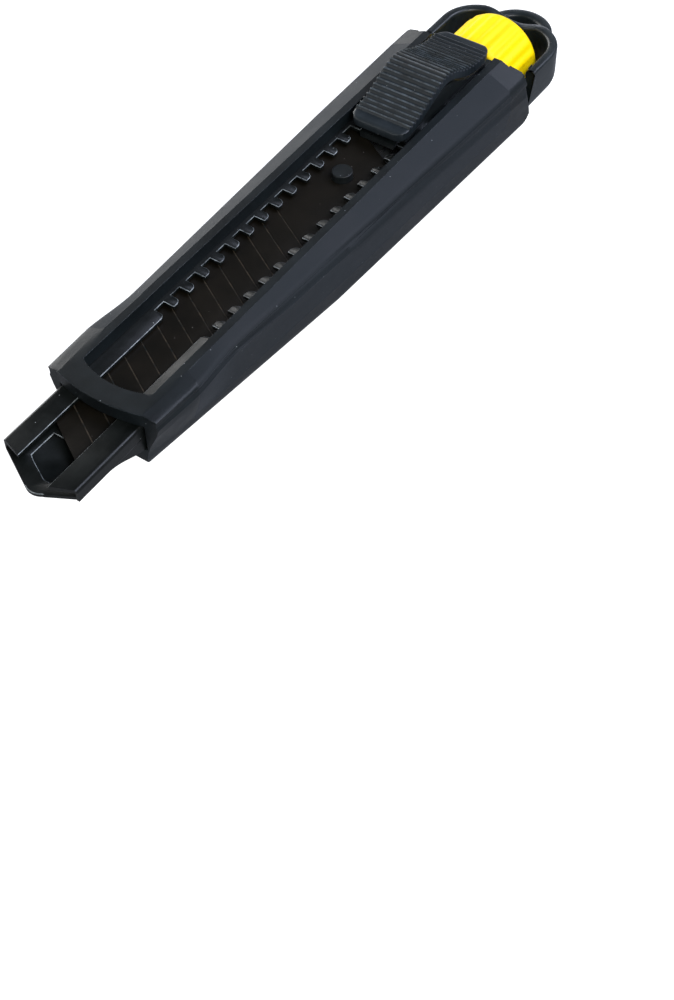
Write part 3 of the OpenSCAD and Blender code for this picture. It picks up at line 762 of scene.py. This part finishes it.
class KNIFE_OT_steel(bpy.types.Operator):
    """Builds the blade guide and the blade, and finishes the small metal parts"""
    bl_idname = "knife.steel"
    bl_label = "Guide and Blade"

    def execute(self, context):
        values = settings("knife_steel")
        bm = cad_copy("blade_guide")
        top = max(v.co.z for v in bm.verts)
        outer = max(v.co.y for v in bm.verts)
        folds = [e for e in sharp_edges(bm, top - 0.02 * MM, top + 0.02 * MM)
                 if all(abs(v.co.y) > outer - 0.02 * MM for v in e.verts)]
        bmesh.ops.bevel(bm, geom=folds, offset=1.1 * MM, segments=6, profile=0.5,
                        affect="EDGES", material=-1, clamp_overlap=True)
        # the guide's inner top edges and the edges of the pocket in its floor get a narrow flat in a paler
        # colour, a painted highlight
        bevel_with_painted_highlight(bm, [e for e in sharp_edges(bm, top - 0.02 * MM, top + 0.02 * MM)
                        if all(abs(v.co.y) < outer - 0.9 * MM for v in e.verts)], 0.11)
        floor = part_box("snap_blade")[0].z - 0.5 * MM
        bevel_with_painted_highlight(bm, [e for e in sharp_edges(bm, floor - 0.02 * MM, floor + 0.02 * MM, 40)
                        if all(abs(v.co.y) < 4.5 * MM and v.co.x > NOSE_X for v in e.verts)], 0.14)
        guide = finish_piece(bm, "blade_guide_folded", "handle",
                             blackened_steel(values.guide_colour), ["blade_guide"], 40)
        guide.data.materials.append(painted_highlight_and_score_line("coated_steel_painted_edge_highlight", "#8b9294", 0.35))
        bm = cad_copy("snap_blade")
        top = max(v.co.z for v in bm.verts)
        for face in bm.faces:
            if top - 0.13 * MM < face.calc_center_median().z < top - 0.01 * MM and abs(face.normal.z) > 0.5:
                face.material_index = 1
        blade = finish_piece(bm, "blade_scored", "slider", black_oxide(values.blade_colour),
                             ["snap_blade"], 20)
        blade.data.materials.append(painted_highlight_and_score_line("scored_steel", "#4f463a", 0.4))
        steel = bare_steel("#b9bcbd")
        for node in ("shell_screws", "guide_pins", "blade_carrier", "lock_plate", "pad_springs",
                     "cap_screw", "wheel_washer"):
            dress(node, steel)
        brass = turned_brass("#c69b4a")
        for node in ("cap_nut", "screw_bush"):
            dress(node, brass)
        return {"FINISHED"}


class KNIFE_OT_slider(bpy.types.Operator):
    """Builds the ribbed thumb pad and dresses the slider below it"""
    bl_idname = "knife.slider"
    bl_label = "Slider and Thumb Pad"

    def execute(self, context):
        values = settings("knife_slider")
        mat = moulded_nylon("moulded_nylon_pad", values.pad_colour, "#20272c", 0.4, 0.01)
        build_thumb_pad(values, mat)
        dark = moulded_nylon("moulded_acetal_dark", "#0b0f10", "#151a1b", 0.45, 0.012)
        body = finish_piece(cad_copy("slider_body"), "slider_body_moulded", "slider", dark,
                            ["slider_body"], 30)
        soften(body, 0.15)
        stud = finish_piece(cad_copy("blade_stud"), "blade_stud_moulded", "slider", dark,
                            ["blade_stud"], 30)
        soften(stud, 0.4, 3)
        return {"FINISHED"}


class KNIFE_OT_end_cap(bpy.types.Operator):
    """Builds the loop-shaped end cap and the thumb wheel"""
    bl_idname = "knife.end_cap"
    bl_label = "End Cap and Wheel"

    def execute(self, context):
        mat = moulded_nylon("moulded_nylon_cap", "#12181a", "#1c2325", 0.38, 0.012)
        soften(build_end_cap(mat), 0.2, 2, 50)
        values = settings("knife_wheel")
        build_thumb_wheel(values, moulded_yellow(values.colour))
        return {"FINISHED"}


# name, azimuth and elevation in degrees, distance, width and height in metres, brightness, tint
SOFTBOXES = (
    ("back_wall", 262, 9, 0.9, (1.2, 0.45), 7.0, "#ffffff"),
    ("rear_strip", 204, 9, 0.9, (0.35, 0.25), 3.0, "#eef2ff"),
    ("side_box", 140, 48, 0.8, (0.5, 0.45), 9.0, "#dfe6ff"),
    ("key", 62, 38, 0.8, (0.3, 0.3), 16.0, "#ffffff"),
    ("front_strip", -24, 28, 0.8, (0.5, 0.25), 3.0, "#ffffff"),
)


AIM = Vector((58.265, 45.33, 11.0)) * MM  # the point that the camera looks at
FOCAL_LENGTH = 57.92814                   # millimetres, for a 36 mm sensor


def area_light(name, azimuth, elevation, distance, size, glow, tint):
    """A rectangular softbox aimed at the knife; glow is the brightness of its face."""
    az, el = math.radians(azimuth), math.radians(elevation)
    away = Vector((math.cos(el) * math.cos(az), math.cos(el) * math.sin(az), math.sin(el)))
    lamp = bpy.data.lights.new(name, "AREA")
    lamp.shape = "RECTANGLE"
    lamp.size, lamp.size_y = size
    lamp.energy = glow * math.pi * size[0] * size[1]
    lamp.color = srgb(tint)[:3]
    made = bpy.data.objects.new(name, lamp)
    made.location = away * distance
    made.rotation_euler = away.to_track_quat("Z", "Y").to_euler()
    bpy.context.scene.collection.objects.link(made)


class KNIFE_OT_stage(bpy.types.Operator):
    """Builds the pale floor, the soft studio light and the camera"""
    bl_idname = "knife.stage"
    bl_label = "Stage"

    def execute(self, context):
        values = settings("knife_stage")
        scene = context.scene
        bm = bmesh.new()
        bmesh.ops.create_grid(bm, x_segments=1, y_segments=1, size=1.6)
        mesh = bpy.data.meshes.new("floor")
        bm.to_mesh(mesh)
        bm.free()
        paint, tree, shader, place = new_material("matt_white_board", Roughness=0.9)
        grain = noise(tree, place, 30.0, 3.0)
        tone = mix_colour(tree, grain, srgb("#9c9d9e"), srgb("#a4a5a6"))
        tree.links.new(tone, shader.inputs["Base Color"])
        shader.inputs["Specular IOR Level"].default_value = 0.0
        # the board is lit from behind for the camera only, so that it shows white without
        # filling the knife's flanks with light
        glow = add(tree, "ShaderNodeLightPath").outputs["Is Camera Ray"]
        shader.inputs["Emission Color"].default_value = srgb("#ffffff")
        tree.links.new(glow, shader.inputs["Emission Strength"])
        mesh.materials.append(paint)
        floor = bpy.data.objects.new("floor", mesh)
        scene.collection.objects.link(floor)

        world = bpy.data.worlds.new("studio")
        world.use_nodes = True
        world.node_tree.nodes["Background"].inputs["Color"].default_value = srgb("#eef3fa")
        world.node_tree.nodes["Background"].inputs["Strength"].default_value = 0.16
        scene.world = world
        scene.view_settings.view_transform = "Standard"
        for name, azimuth, elevation, distance, size, glow, tint in SOFTBOXES:
            area_light(name, azimuth, elevation, distance, size, glow, tint)

        camera = bpy.data.cameras.new("camera")
        camera.sensor_width = 36.0
        camera.lens = FOCAL_LENGTH
        camera.clip_start = 0.01
        az, el = values.view_azimuth, values.view_elevation
        away = Vector((math.cos(el) * math.cos(az), math.cos(el) * math.sin(az), math.sin(el)))
        shot = bpy.data.objects.new("camera", camera)
        turned = (-away).to_track_quat("-Z", "Y").to_matrix().to_4x4()
        shot.matrix_world = (Matrix.Translation(AIM + away * values.view_distance) @ turned
                             @ Matrix.Rotation(values.view_roll, 4, "Z"))
        scene.collection.objects.link(shot)
        scene.camera = shot
        return {"FINISHED"}


class KNIFE_PT_build(bpy.types.Panel):
    bl_idname = "KNIFE_PT_build"
    bl_label = "Utility Knife"
    bl_space_type = "VIEW_3D"
    bl_region_type = "UI"
    bl_category = "Utility Knife"

    def draw(self, context):
        for group, operator in STEPS:
            box = self.layout.box()
            if group:
                held = settings(group)
                for key in held.bl_rna.properties.keys():
                    if key not in ("rna_type", "name"):
                        box.prop(held, key)
            box.operator(operator)


STEPS = (
    ("knife_handle", "knife.shells"),
    (None, "knife.grips"),
    ("knife_steel", "knife.steel"),
    ("knife_slider", "knife.slider"),
    ("knife_wheel", "knife.end_cap"),
    ("knife_stage", "knife.stage"),
)
GROUPS = {
    "knife_handle": KnifeHandle,
    "knife_slider": KnifeSlider,
    "knife_wheel": KnifeWheel,
    "knife_steel": KnifeSteel,
    "knife_stage": KnifeStage,
}
CLASSES = (*GROUPS.values(), KNIFE_OT_shells, KNIFE_OT_grips, KNIFE_OT_steel, KNIFE_OT_slider,
           KNIFE_OT_end_cap, KNIFE_OT_stage, KNIFE_PT_build)


def register():
    for cls in CLASSES:
        bpy.utils.register_class(cls)
    for name, group in GROUPS.items():
        setattr(bpy.types.Scene, name, bpy.props.PointerProperty(type=group))


def unregister():
    for name in GROUPS:
        delattr(bpy.types.Scene, name)
    for cls in reversed(CLASSES):
        bpy.utils.unregister_class(cls)


def main():
    register()
    for _, operator in STEPS:
        area, name = operator.split(".")
        getattr(getattr(bpy.ops, area), name)()


if __name__ == "__main__":
    main()
